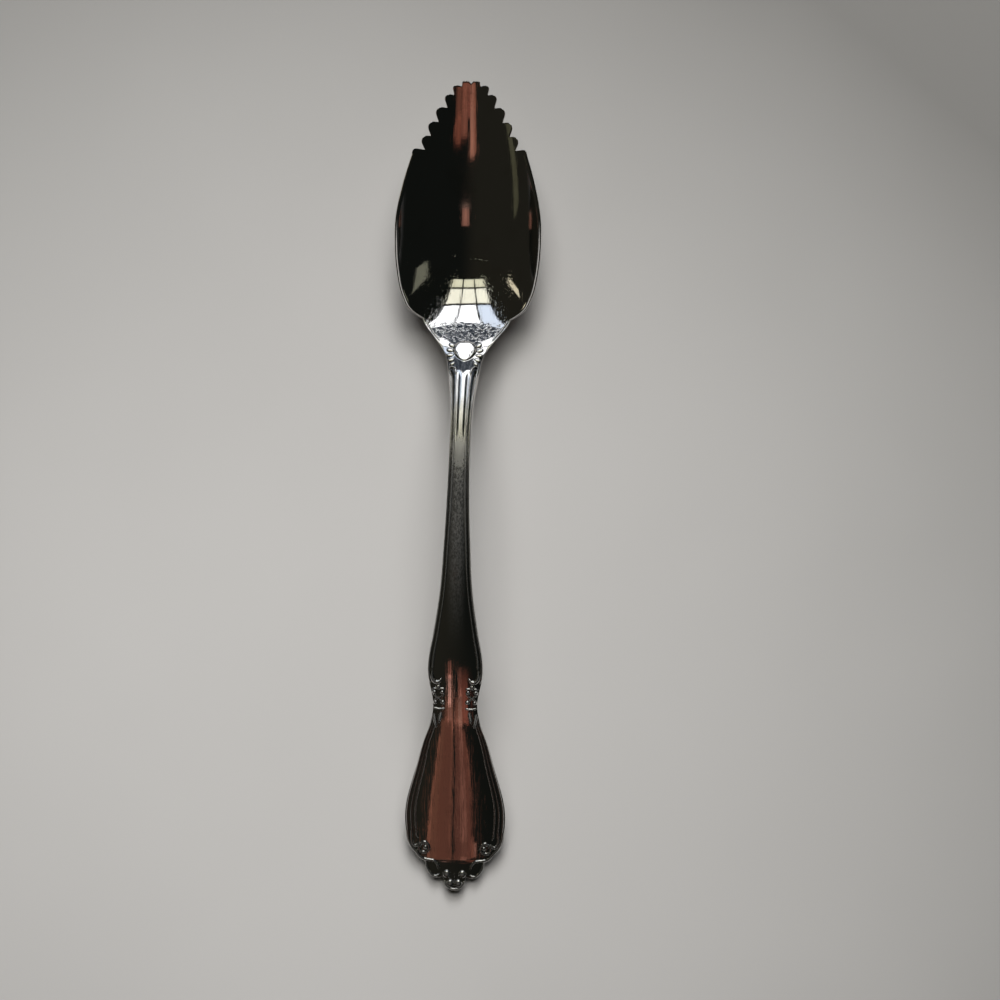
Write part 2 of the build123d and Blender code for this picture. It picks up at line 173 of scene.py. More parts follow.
@dataclass
class SpoonForm:
    """Surfaces and outlines that the seven sections share."""

    nose: float = 82.5
    shoulder: float = 67.7
    notch: float = 34.7
    stem_top: float = 24.0
    waist_top: float = -33.0
    panel_top: float = -47.0
    end_top: float = -70.0
    finial: float = -82.5
    wall: float = 1.2
    heel_wall: float = 1.9
    rim_width: float = 0.6
    rim_blend: float = 0.2
    edge_radius: float = 0.24

    def __post_init__(self) -> None:
        """Lays the lines through their places."""
        self.middle = Line(
            (
                (82.5, 9.2), (75, 6.8), (67.7, 4.75), (60, 2.95), (54, 1.8), (47.6, 1.2), (43, 1.58), (38.3, 2.74),
                (34, 4.6), (32.5, 5.48), (31, 6.48), (29, 7.78), (27, 8.96), (25, 10.14), (23, 11.29), (21, 12.32),
                (18, 13.64), (14, 15.04), (10, 16.04), (4, 16.95), (-5.6, 17.35), (-18, 16.8), (-33, 14.2),
                (-40, 12.4), (-47, 10.4), (-58, 7.15), (-70, 3.9), (-73.5, 3.0), (-77, 2.15), (-79.5, 1.86), (-82.5, 1.8),
            )
        )  # fmt: skip
        self.bend = Line(
            (
                (82.5, 0.077), (75, 0.068), (67.7, 0.059), (58, 0.055), (50.9, 0.054), (44, 0.0515), (39, 0.046),
                (35, 0.036), (33, 0.027), (30.5, 0.012), (28, -0.04), (24, -0.12), (14, -0.14), (0, -0.13), (-15, -0.08),
                (-25, -0.04), (-33, -0.024), (-40, -0.023), (-47, -0.021), (-58, -0.0145), (-64, -0.012),
                (-70, -0.0108), (-82.5, -0.0108),
            )
        )  # fmt: skip
        self.bowl_half = Line(
            (
                (34.7, 9.2), (36.3, 11.6), (38.4, 12.95), (39.9, 13.55), (42.35, 14.15), (44.6, 14.5), (47.2, 14.77),
                (50.9, 14.9), (54.4, 14.8), (59.3, 14.0), (64.1, 12.8), (67.7, 11.68),
            )
        )  # fmt: skip
        self.handle_half = Line(
            (
                (34.7, 8.95), (33.5, 8.45), (32, 7.35), (30, 5.8), (28.2, 4.55), (26.6, 3.75), (25.2, 3.4), (24, 3.2),
                (21.6, 2.9), (18.7, 2.52), (14.1, 2.2), (8, 2.12), (-2, 2.28), (-5.9, 2.42), (-11.8, 2.72),
                (-16, 2.92), (-21.7, 3.42), (-26.2, 4.07), (-29.8, 4.68), (-33.2, 5.32), (-36.25, 5.54), (-38.5, 5.3),
                (-41.3, 4.7), (-43.75, 4.48), (-46, 4.78), (-48.1, 5.35), (-50.6, 6.3), (-55.6, 7.7), (-60.5, 9.15),
                (-63, 9.8), (-66.5, 10.28), (-70, 10.15),
            )
        )  # fmt: skip
        self.depth = Line(
            ((34.7, 1.9), (24, 2.9), (0, 2.9), (-20, 2.8), (-33, 2.4), (-47, 2.4), (-60, 2.1), (-70, 1.9), (-82.5, 1.8))
        )
        self.back_bend = Line(
            (
                (34.7, 0.072), (31, 0.06), (27, 0.16), (24, 0.3), (14, 0.36), (0, 0.34), (-18, 0.16), (-33, 0.033),
                (-47, 0.03), (-58, 0.012), (-70, 0), (-82.5, 0),
            )
        )  # fmt: skip

    def half(self, y: np.ndarray) -> np.ndarray:
        """Half width of the blank at y, bowl or handle."""
        return np.where(np.asarray(y) > self.notch, self.bowl_half(y), self.handle_half(y))

    def sheet(self, x: np.ndarray, y: np.ndarray) -> np.ndarray:
        """Height of the top surface with no rim and nothing coined on it."""
        return self.middle(y) + arc_rise(self.bend(y), x)

    def rim_level(self, y: np.ndarray) -> np.ndarray:
        """Height of the bowl's rim at y."""
        return self.sheet(self.bowl_half(y) - self.rim_width, y)

    def bowl_top(self, x: np.ndarray, y: np.ndarray) -> np.ndarray:
        """Height of the bowl's inside and of its narrow rim, rounded into each other."""
        inside, rim = self.sheet(x, y), self.rim_level(y)
        soft = self.rim_blend
        blend = np.clip(0.5 + (rim - inside) / (2 * soft), 0, 1)
        return rim + (inside - rim) * blend - soft * blend * (1 - blend)

    def bowl_back(self, x: np.ndarray, y: np.ndarray) -> np.ndarray:
        """Height of the bowl's outside, and of the tip's underside past the shoulder."""
        at = np.minimum(y, self.shoulder)
        wall = self.wall + (self.heel_wall - self.wall) * ease(0, 14, 48.9 - np.asarray(y))
        floor = self.middle(at) - wall
        half = self.bowl_half(at)
        drop = self.rim_level(at) - self.edge_radius - floor
        bend = 2 * drop / (half**2 + drop**2)
        tip_bend = 1 / (1 / self.bend(y) + self.wall)
        share = ease(self.shoulder, self.shoulder + 7, np.asarray(y, float))
        return self.middle(y) - wall + arc_rise(bend + (tip_bend - bend) * share, x)

    def handle_back(self, x: np.ndarray, y: np.ndarray) -> np.ndarray:
        """Height of the handle's back."""
        return self.middle(y) - self.depth(y) + arc_rise(self.back_bend(y), x)


@dataclass
class Plate:
    """Turns grids of heights into closed meshes of the blank."""

    form: SpoonForm
    round_steps: int = 5

    def across(self, half: np.ndarray, columns: int, radius: float) -> tuple[np.ndarray, np.ndarray]:
        """Places across each row, close together in the rounded edges.

        Args:
            half: Half width of each row.
            columns: Number of places between the two rounded edges.
            radius: Radius of the edges.

        Returns:
            The places, and how far the edge's rounding lowers each.
        """
        turn = np.linspace(0, pi / 2, self.round_steps + 1)[1:]
        out, drop = radius * np.sin(turn), radius * (1 - np.cos(turn))
        flat = (half - radius)[:, None] * np.linspace(-1, 1, columns)[None, :]
        right = (half - radius)[:, None] + out[None, :]
        places = np.hstack([-right[:, ::-1], flat, right])
        sink = np.concatenate([drop[::-1], np.zeros(columns), drop])
        return places, np.broadcast_to(sink, places.shape)

    def closed(
        self, name: str, top: np.ndarray, back: np.ndarray, dull: np.ndarray | None = None
    ) -> bpy.types.Object:
        """Closed mesh between two grids that have the same number of rows and columns.

        Args:
            name: Name of the object.
            top: Grid of points on top, in millimetres.
            back: Grid of points on the back.
            dull: Grid that says how worn dull the top is, from 0 to 1.

        Returns:
            The object, at the origin.
        """
        rows, columns = top.shape[:2]
        points = np.vstack([top.reshape(-1, 3), back.reshape(-1, 3)]) * MM
        index = np.arange(rows * columns).reshape(rows, columns)
        under = index + rows * columns
        quads = [
            np.stack([index[:-1, :-1], index[:-1, 1:], index[1:, 1:], index[1:, :-1]], -1).reshape(-1, 4),
            np.stack([under[:-1, :-1], under[1:, :-1], under[1:, 1:], under[:-1, 1:]], -1).reshape(-1, 4),
            np.stack([index[:-1, 0], index[1:, 0], under[1:, 0], under[:-1, 0]], -1),
            np.stack([index[:-1, -1], under[:-1, -1], under[1:, -1], index[1:, -1]], -1),
            np.stack([index[0, :-1], under[0, :-1], under[0, 1:], index[0, 1:]], -1),
            np.stack([index[-1, :-1], index[-1, 1:], under[-1, 1:], under[-1, :-1]], -1),
        ]
        mesh = bpy.data.meshes.new(name)
        mesh.from_pydata(points.tolist(), [], np.vstack(quads).tolist())
        if dull is not None:
            worn = np.concatenate([dull.ravel(), np.zeros(dull.size)])
            mesh.attributes.new("dull", "FLOAT", "POINT").data.foreach_set("value", worn)
        work = bmesh.new()
        work.from_mesh(mesh)
        bmesh.ops.remove_doubles(work, verts=work.verts, dist=1e-7)
        bmesh.ops.dissolve_degenerate(work, edges=work.edges, dist=1e-7)
        bmesh.ops.recalc_face_normals(work, faces=work.faces)
        for face in work.faces:
            face.smooth = True
        work.to_mesh(mesh)
        work.free()
        mesh.set_sharp_from_angle(angle=radians(42))
        piece = bpy.data.objects.new(name, mesh)
        bpy.context.scene.collection.objects.link(piece)
        return piece


def stack(x: np.ndarray, y: np.ndarray, z: np.ndarray) -> np.ndarray:
    """One grid of points from three grids of coordinates."""
    return np.stack(np.broadcast_arrays(x, y, z), -1)


class Graph:
    """Short hand for a node tree."""

    def __init__(self, tree: bpy.types.NodeTree) -> None:
        """Keeps the tree.

        Args:
            tree: The tree that nodes are added to.
        """
        self.tree = tree

    def add(self, kind: str, inputs: dict[str | int, object] | None = None, **settings: object) -> bpy.types.Node:
        """Adds a node.

        Args:
            kind: The node's type.
            inputs: Values or sockets for its inputs, by name or number.
            **settings: Attributes of the node.

        Returns:
            The node.
        """
        node = self.tree.nodes.new(kind)
        for name, value in settings.items():
            setattr(node, name, value)
        for name, value in (inputs or {}).items():
            if isinstance(value, bpy.types.NodeSocket):
                self.tree.links.new(value, node.inputs[name])
            else:
                node.inputs[name].default_value = value
        return node

    def math(self, operation: str, a: object, b: object = 0.0) -> bpy.types.NodeSocket:
        """Output of a Math node."""
        return self.add("ShaderNodeMath", {0: a, 1: b}, operation=operation).outputs[0]

    def span(self, value: object, low: float, high: float, start: float = 0.0, finish: float = 1.0) -> object:
        """Smooth step of a value between low and high, from start to finish."""
        inputs = {"Value": value, "From Min": low, "From Max": high, "To Min": start, "To Max": finish}
        return self.add("ShaderNodeMapRange", inputs, interpolation_type="SMOOTHSTEP").outputs[0]

    def noise(self, place: object, scale: float, detail: float = 2.0, rough: float = 0.5) -> bpy.types.NodeSocket:
        """Output of a noise texture."""
        inputs = {"Vector": place, "Scale": scale, "Detail": detail, "Roughness": rough}
        return self.add("ShaderNodeTexNoise", inputs).outputs["Fac"]

    def blend(self, share: object, a: object, b: object) -> bpy.types.NodeSocket:
        """Mix of two colours."""
        node = self.add("ShaderNodeMix", data_type="RGBA")
        for slot, value in ((0, share), (6, a), (7, b)):
            if isinstance(value, bpy.types.NodeSocket):
                self.tree.links.new(value, node.inputs[slot])
            else:
                node.inputs[slot].default_value = value
        return node.outputs[2]

    def link(self, source: bpy.types.NodeSocket, target: bpy.types.NodeSocket) -> None:
        """Links two sockets."""
        self.tree.links.new(source, target)


@dataclass(frozen=True)
class SteelFinish:
    """Mirror-polished stainless steel, hazed by years of washing up."""

    name: str = "polished_steel_mirror"
    colour: tuple[float, float, float] = (0.62, 0.61, 0.59)
    tarnish: tuple[float, float, float] = (0.5, 0.47, 0.43)
    roughness: float = 0.03
    haze: float = 0.02
    scratch_depth: float = 0.0000008
    speck_depth: float = 0.000014

    def build(self) -> bpy.types.Material:
        """Makes the material.

        Returns:
            The material.
        """
        material = bpy.data.materials.new(self.name)
        material.use_nodes = True
        graph = Graph(material.node_tree)
        shader = material.node_tree.nodes["Principled BSDF"]
        shader.inputs["Metallic"].default_value = 1.0
        place = graph.add("ShaderNodeTexCoord").outputs["Object"]
        patches = graph.noise(place, 160, 3)
        stain = graph.span(patches, 0.5, 0.75)
        tint = graph.math("MULTIPLY", stain, 0.35)
        colour = graph.blend(tint, (*self.colour, 1), (*self.tarnish, 1))
        graph.link(colour, shader.inputs["Base Color"])
        fine = graph.noise(place, 2600, 2)
        haze = graph.math("MULTIPLY", graph.span(patches, 0.35, 0.7), self.haze)
        rough = graph.math("ADD", graph.math("MULTIPLY", fine, haze), self.roughness)
        dull = graph.add("ShaderNodeAttribute", attribute_name="dull").outputs["Fac"]
        rubbed = self.rubbed(graph, place)
        rough = graph.math("ADD", rough, graph.math("MULTIPLY", rubbed, 0.3))
        y = graph.add("ShaderNodeSeparateXYZ", {0: place}).outputs[1]
        satin = graph.math("MULTIPLY", graph.span(y, 0.0235, 0.0215), graph.span(y, 0.002, 0.007))
        rough = graph.math("ADD", rough, graph.math("MULTIPLY", satin, 0.17))
        graph.link(graph.math("ADD", rough, graph.math("MULTIPLY", dull, 0.3)), shader.inputs["Roughness"])
        mixed = graph.math("ADD", graph.math("MULTIPLY", dull, 0.6), graph.math("MULTIPLY", rubbed, 0.1))
        graph.link(graph.math("SUBTRACT", 1.0, mixed), shader.inputs["Metallic"])
        scratches = self.scratches(graph, place)
        specks = graph.span(graph.noise(place, 1900, 2, 0.6), 0.5, 0.68)
        specks = graph.math("MULTIPLY", specks, graph.math("ADD", self.worn(graph, place), 0.03))
        first = graph.add("ShaderNodeBump", {"Height": scratches, "Strength": 1.0, "Distance": self.scratch_depth})
        second = graph.add(
            "ShaderNodeBump",
            {"Height": specks, "Strength": 1.0, "Distance": self.speck_depth, "Normal": first.outputs[0]},
        )
        graph.link(second.outputs[0], shader.inputs["Normal"])
        return material

    def rubbed(self, graph: Graph, place: bpy.types.NodeSocket) -> bpy.types.NodeSocket:
        """Where the stem is rubbed dull along its middle.

        Args:
            graph: The material's graph.
            place: Object coordinates.

        Returns:
            The share of the wear.
        """
        x, y, _ = graph.add("ShaderNodeSeparateXYZ", {0: place}).outputs
        band = graph.span(graph.math("ABSOLUTE", x), 0.0022, 0.0004)
        ends = graph.math("MULTIPLY", graph.span(y, 0.012, 0.008), graph.span(y, -0.034, -0.004))
        streaks = graph.add("ShaderNodeMapping", {"Vector": place, "Scale": (1.0, 0.45, 1.0)}).outputs[0]
        grain = graph.span(graph.noise(streaks, 3600, 4, 0.75), 0.38, 0.62, 0.3, 1.0)
        return graph.math("MULTIPLY", graph.math("MULTIPLY", band, ends), grain)

    def worn(self, graph: Graph, place: bpy.types.NodeSocket) -> bpy.types.NodeSocket:
        """Where the heel of the bowl is pitted: across its foot, and up both sides of its middle.

        Args:
            graph: The material's graph.
            place: Object coordinates.

        Returns:
            The share of the wear.
        """
        x, y, _ = graph.add("ShaderNodeSeparateXYZ", {0: place}).outputs
        aside = graph.math("ABSOLUTE", x)
        foot = graph.math("MULTIPLY", graph.span(y, 0.0343, 0.0335), graph.span(y, 0.0297, 0.0303))
        edge = graph.math("ADD", aside, graph.math("MULTIPLY", graph.math("SUBTRACT", y, 0.0335), 0.46))
        beside = graph.math("MULTIPLY", graph.span(edge, 0.0066, 0.008), graph.span(aside, 0.0098, 0.0085))
        height = graph.math("MULTIPLY", graph.span(y, 0.0335, 0.0343), graph.span(y, 0.05, 0.038, 0.0, 0.6))
        crease = graph.math("ABSOLUTE", graph.math("SUBTRACT", graph.math("ADD", y, graph.math("MULTIPLY", x, 0.12)), 0.0476))
        across = graph.math("MULTIPLY", graph.span(crease, 0.00016, 0.00006), graph.span(aside, 0.0045, 0.0038))
        total = graph.math("ADD", graph.math("MULTIPLY", foot, 1.7), graph.math("MULTIPLY", beside, height))
        return graph.math("ADD", total, across)

    def scratches(self, graph: Graph, place: bpy.types.NodeSocket) -> bpy.types.NodeSocket:
        """Fine straight scratches in three directions.

        Args:
            graph: The material's graph.
            place: Object coordinates.

        Returns:
            Their height.
        """
        total: object = 0.0
        for turn, across in ((8, 9000), (62, 7000), (118, 8000)):
            mapped = graph.add(
                "ShaderNodeMapping",
                {"Vector": place, "Rotation": (0, 0, radians(turn)), "Scale": (across, across / 45, across / 30)},
            ).outputs[0]
            lines = graph.span(graph.noise(mapped, 1.0, 1), 0.6, 0.72)
            total = graph.math("ADD", total, lines)
        return total


@dataclass(frozen=True)
class TableFinish:
    """Pale, slightly warm table top, darkened by painted shade with distance from a point near the spoon."""

    name: str = "pale_table"
    colour: tuple[float, float, float] = (0.584, 0.572, 0.563)
    # edge is painted shade: the dark colour the top fades to away from the spoon, standing in for the light falling
    # off.
    edge: tuple[float, float, float] = (0.2, 0.196, 0.189)

    def build(self) -> bpy.types.Material:
        """Makes the material.

        Returns:
            The material.
        """
        material = bpy.data.materials.new(self.name)
        material.use_nodes = True
        graph = Graph(material.node_tree)
        shader = material.node_tree.nodes["Principled BSDF"]
        shader.inputs["Roughness"].default_value = 0.65
        shader.inputs["Specular IOR Level"].default_value = 0.2
        place = graph.add("ShaderNodeTexCoord").outputs["Object"]
        # Painted shade: the top darkens from its own colour to the edge colour with the squared distance from a point
        # near the spoon, where the light falls off; the noise only varies that darkening at random.
        centre = graph.add("ShaderNodeMapping", {"Vector": place, "Location": (0.0417, 0.0784, 0)}).outputs[0]
        shade_falloff_distance = graph.add("ShaderNodeVectorMath", {0: centre}, operation="LENGTH").outputs["Value"]
        share = graph.math("POWER", graph.math("DIVIDE", shade_falloff_distance, 0.2123), 2.0)
        cloud = graph.span(graph.noise(place, 9, 3), 0.3, 0.7, -0.03, 0.03)
        graph.link(
            graph.blend(graph.math("ADD", share, cloud), (*self.colour, 1), (*self.edge, 1)),
            shader.inputs["Base Color"],
        )
        return material


@dataclass
class CoinedLine:
    """Geometry nodes that sweep a low rounded line along a path on the surface."""

    name: str = "coined_line"
    ids: dict[str, str] = field(default_factory=dict)

    def build(self) -> bpy.types.NodeTree:
        """Makes the tree.

        Returns:
            The tree, whose input identifiers are kept in ids.
        """
        tree = bpy.data.node_groups.new(self.name, "GeometryNodeTree")
        graph = Graph(tree)
        tree.interface.new_socket("Geometry", in_out="INPUT", socket_type="NodeSocketGeometry")
        tree.interface.new_socket("Geometry", in_out="OUTPUT", socket_type="NodeSocketGeometry")
        sockets = (
            ("Half Width", "NodeSocketFloat"), ("Height", "NodeSocketFloat"), ("Step", "NodeSocketFloat"),
            ("Sides", "NodeSocketInt"), ("Material", "NodeSocketMaterial"),
        )  # fmt: skip
        for label, kind in sockets:
            self.ids[label] = tree.interface.new_socket(label, in_out="INPUT", socket_type=kind).identifier
        given = graph.add("NodeGroupInput")
        curve = graph.add("GeometryNodeMeshToCurve", {"Mesh": given.outputs["Geometry"]}).outputs[0]
        even = graph.add(
            "GeometryNodeResampleCurve", {"Curve": curve, "Length": given.outputs["Step"]}, mode="LENGTH"
        ).outputs[0]
        upright = graph.add("GeometryNodeSetCurveNormal", {"Curve": even}, mode="Z_UP").outputs[0]
        ring = graph.add(
            "GeometryNodeCurvePrimitiveCircle", {"Resolution": given.outputs["Sides"], "Radius": 1.0}
        ).outputs[0]
        size = graph.add(
            "ShaderNodeCombineXYZ", {"X": given.outputs["Height"], "Y": given.outputs["Half Width"], "Z": 1.0}
        ).outputs[0]
        profile = graph.add("GeometryNodeTransform", {"Geometry": ring, "Scale": size}).outputs[0]
        taper = graph.add("GeometryNodeInputNamedAttribute", {"Name": "taper"}, data_type="FLOAT").outputs[0]
        swept = graph.add(
            "GeometryNodeCurveToMesh",
            {"Curve": upright, "Profile Curve": profile, "Scale": taper, "Fill Caps": True},
        ).outputs[0]
        smooth = graph.add("GeometryNodeSetShadeSmooth", {0: swept}).outputs[0]
        real = graph.add("GeometryNodeRealizeInstances", {0: smooth}).outputs[0]
        dressed = graph.add(
            "GeometryNodeSetMaterial", {"Geometry": real, "Material": given.outputs["Material"]}
        ).outputs[0]
        graph.link(dressed, graph.add("NodeGroupOutput").inputs[0])
        return tree


@dataclass
class CoinedBeads:
    """Geometry nodes that set beads, flutes and leaves on points of the surface."""

    name: str = "coined_beads"
    ids: dict[str, str] = field(default_factory=dict)

    def build(self) -> bpy.types.NodeTree:
        """Makes the tree.

        Returns:
            The tree, whose input identifiers are kept in ids.
        """
        tree = bpy.data.node_groups.new(self.name, "GeometryNodeTree")
        graph = Graph(tree)
        tree.interface.new_socket("Geometry", in_out="INPUT", socket_type="NodeSocketGeometry")
        tree.interface.new_socket("Geometry", in_out="OUTPUT", socket_type="NodeSocketGeometry")
        for label, kind in (
            ("Segments", "NodeSocketInt"),
            ("Rings", "NodeSocketInt"),
            ("Material", "NodeSocketMaterial"),
        ):
            self.ids[label] = tree.interface.new_socket(label, in_out="INPUT", socket_type=kind).identifier
        given = graph.add("NodeGroupInput")
        ball = graph.add(
            "GeometryNodeMeshUVSphere",
            {"Segments": given.outputs["Segments"], "Rings": given.outputs["Rings"], "Radius": 1.0},
        ).outputs[0]
        size = graph.add("GeometryNodeInputNamedAttribute", {"Name": "size"}, data_type="FLOAT_VECTOR").outputs[0]
        turn = graph.add("GeometryNodeInputNamedAttribute", {"Name": "turn"}, data_type="FLOAT_VECTOR").outputs[0]
        set_out = graph.add(
            "GeometryNodeInstanceOnPoints",
            {"Points": given.outputs["Geometry"], "Instance": ball, "Rotation": turn, "Scale": size},
        ).outputs[0]
        real = graph.add("GeometryNodeRealizeInstances", {0: set_out}).outputs[0]
        smooth = graph.add("GeometryNodeSetShadeSmooth", {0: real}).outputs[0]
        dressed = graph.add(
            "GeometryNodeSetMaterial", {"Geometry": smooth, "Material": given.outputs["Material"]}
        ).outputs[0]
        graph.link(dressed, graph.add("NodeGroupOutput").inputs[0])
        return tree


@dataclass
class Bead:
    """A bead, flute or leaf: its place, its size each way, and its turn and lean in degrees."""

    x: float
    y: float
    across: float
    along: float
    height: float
    turn: float = 0.0
    lean: float = 0.0


@dataclass
class Stroke:
    """A coined line: its path on the plan, its width and height, and how it runs out at its ends."""

    path: np.ndarray
    half_width: float
    height: float
    start_taper: float = 1.0
    end_taper: float = 1.0
    sink: float = 0.0
    swell: Line | None = None


@dataclass
class Coining:
    """Strikes lines and beads into a section, alike on both sides."""

    form: SpoonForm
    steel: bpy.types.Material
    line_tree: CoinedLine = field(default_factory=CoinedLine)
    bead_tree: CoinedBeads = field(default_factory=CoinedBeads)

    def __post_init__(self) -> None:
        """Builds both trees."""
        self.line_group = self.line_tree.build()
        self.bead_group = self.bead_tree.build()

    def finished(self, seed: bpy.types.Object, group: bpy.types.NodeTree, values: dict[str, object]) -> bpy.types.Mesh:
        """Runs a tree on a seed and keeps what it makes.

        Args:
            seed: Object that carries the path or the points.
            group: The tree.
            values: Its inputs, by identifier.

        Returns:
            A plain mesh.
        """
        modifier = seed.modifiers.new("coined", "NODES")
        modifier.node_group = group
        for identifier, value in values.items():
            modifier[identifier] = value
        graph = bpy.context.evaluated_depsgraph_get()
        mesh = bpy.data.meshes.new_from_object(seed.evaluated_get(graph), depsgraph=graph)
        seed.modifiers.remove(modifier)
        bpy.data.objects.remove(seed)
        return mesh

    def line(self, stroke: Stroke, side: Side) -> bpy.types.Mesh:
        """Mesh of one stroke on one side.

        Args:
            stroke: The stroke, drawn on the right.
            side: Where it goes.

        Returns:
            Its mesh.
        """
        x, y = stroke.path[:, 0] * side.value, stroke.path[:, 1]
        z = self.form.sheet(x, y) - stroke.sink
        along = np.concatenate([[0], np.cumsum(np.hypot(np.diff(x), np.diff(y)))])
        taper = np.ones(len(x)) if stroke.swell is None else stroke.swell(y)
        if stroke.start_taper > 0:
            taper *= np.sqrt(np.clip(along / stroke.start_taper, 0.02, 1))
        if stroke.end_taper > 0:
            taper *= np.sqrt(np.clip((along[-1] - along) / stroke.end_taper, 0.02, 1))
        mesh = bpy.data.meshes.new("path")
        count = len(x)
        mesh.from_pydata((np.column_stack([x, y, z]) * MM).tolist(), [(i, i + 1) for i in range(count - 1)], [])
        mesh.attributes.new("taper", "FLOAT", "POINT").data.foreach_set("value", taper)
        seed = bpy.data.objects.new("path", mesh)
        bpy.context.scene.collection.objects.link(seed)
        ids = self.line_tree.ids
        return self.finished(
            seed,
            self.line_group,
            {
                ids["Half Width"]: stroke.half_width * MM,
                ids["Height"]: stroke.height * MM,
                ids["Step"]: 0.16 * MM,
                ids["Sides"]: 16,
                ids["Material"]: self.steel,
            },
        )

    def beads(self, beads: list[Bead]) -> bpy.types.Mesh:
        """Mesh of a group of beads, repeated on the left.

        Args:
            beads: Beads of the right side, or on the middle line.

        Returns:
            Their mesh.
        """
        places, sizes, turns = [], [], []
        for bead in beads:
            for side in Side:
                if bead.x == 0 and side is Side.LEFT:
                    continue
                x = bead.x * side.value
                places.append((x * MM, bead.y * MM, float(self.form.sheet(x, bead.y)) * MM))
                sizes += [bead.across * MM, bead.along * MM, bead.height * MM]
                lean = Matrix.Rotation(radians(bead.lean), 3, "X")
                turns += (lean @ Matrix.Rotation(radians(bead.turn) * side.value, 3, "Z")).to_euler()
        mesh = bpy.data.meshes.new("points")
        mesh.from_pydata(places, [], [])
        mesh.attributes.new("size", "FLOAT_VECTOR", "POINT").data.foreach_set("vector", sizes)
        mesh.attributes.new("turn", "FLOAT_VECTOR", "POINT").data.foreach_set("vector", turns)
        seed = bpy.data.objects.new("points", mesh)
        bpy.context.scene.collection.objects.link(seed)
        ids = self.bead_tree.ids
        return self.finished(
            seed, self.bead_group, {ids["Segments"]: 24, ids["Rings"]: 14, ids["Material"]: self.steel}
        )

    def strike(self, name: str, strokes: list[Stroke], beads: list[Bead], worn: float) -> bpy.types.Object:
        """One piece of ornament from strokes and beads.

        Args:
            name: Name of the piece.
            strokes: Strokes of the right side.
            beads: Beads of the right side or the middle.
            worn: How dull its crests are worn, from 0 to 1.

        Returns:
            The piece, at the origin.
        """
        meshes = []
        for stroke in strokes:
            middle = bool(np.all(np.abs(stroke.path[:, 0]) < 1e-6))
            mirrored = bool(np.any(stroke.path[:, 0] < -0.01))
            sides = [Side.RIGHT] if middle or mirrored else list(Side)
            meshes += [self.line(stroke, side) for side in sides]
        if beads:
            meshes.append(self.beads(beads))
        work = bmesh.new()
        for mesh in meshes:
            work.from_mesh(mesh)
            bpy.data.meshes.remove(mesh)
        bmesh.ops.remove_doubles(work, verts=work.verts, dist=1e-8)
        bmesh.ops.recalc_face_normals(work, faces=work.faces)
        for face in work.faces:
            face.smooth = True
        joined = bpy.data.meshes.new(name)
        work.to_mesh(joined)
        work.free()
        normals = np.empty(3 * len(joined.vertices))
        joined.vertices.foreach_get("normal", normals)
        joined.attributes.new("dull", "FLOAT", "POINT").data.foreach_set("value", worn * ease(0.92, 0.99, normals[2::3]))
        joined.materials.clear()
        joined.materials.append(self.steel)
        piece = bpy.data.objects.new(name, joined)
        bpy.context.scene.collection.objects.link(piece)
        return piece


@dataclass
class SpoonPart:
    """What every section has: the shared form, the plate maker, the coining and the finish."""

    form: SpoonForm
    plate: Plate
    coining: Coining
    steel: bpy.types.Material

    def stand_for(self, piece: bpy.types.Object, section: Section) -> bpy.types.Object:
        """Dresses a section and lets it stand for its node.

        Args:
            piece: The section's object.
            section: The node that it replaces.

        Returns:
            The piece.
        """
        piece.data.materials.clear()
        piece.data.materials.append(self.steel)
        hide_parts(section.value)
        return self.attach(piece)

    def attach(self, piece: bpy.types.Object) -> bpy.types.Object:
        """Lets a piece ride on the spoon."""
        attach(piece, "root")
        log.info("%s: %d faces", piece.name, len(piece.data.polygons))
        return piece

    def rows(self, start: float, finish: float, step: float) -> np.ndarray:
        """Evenly spaced rows between two stations."""
        return np.linspace(start, finish, int(abs(finish - start) / step) + 1)


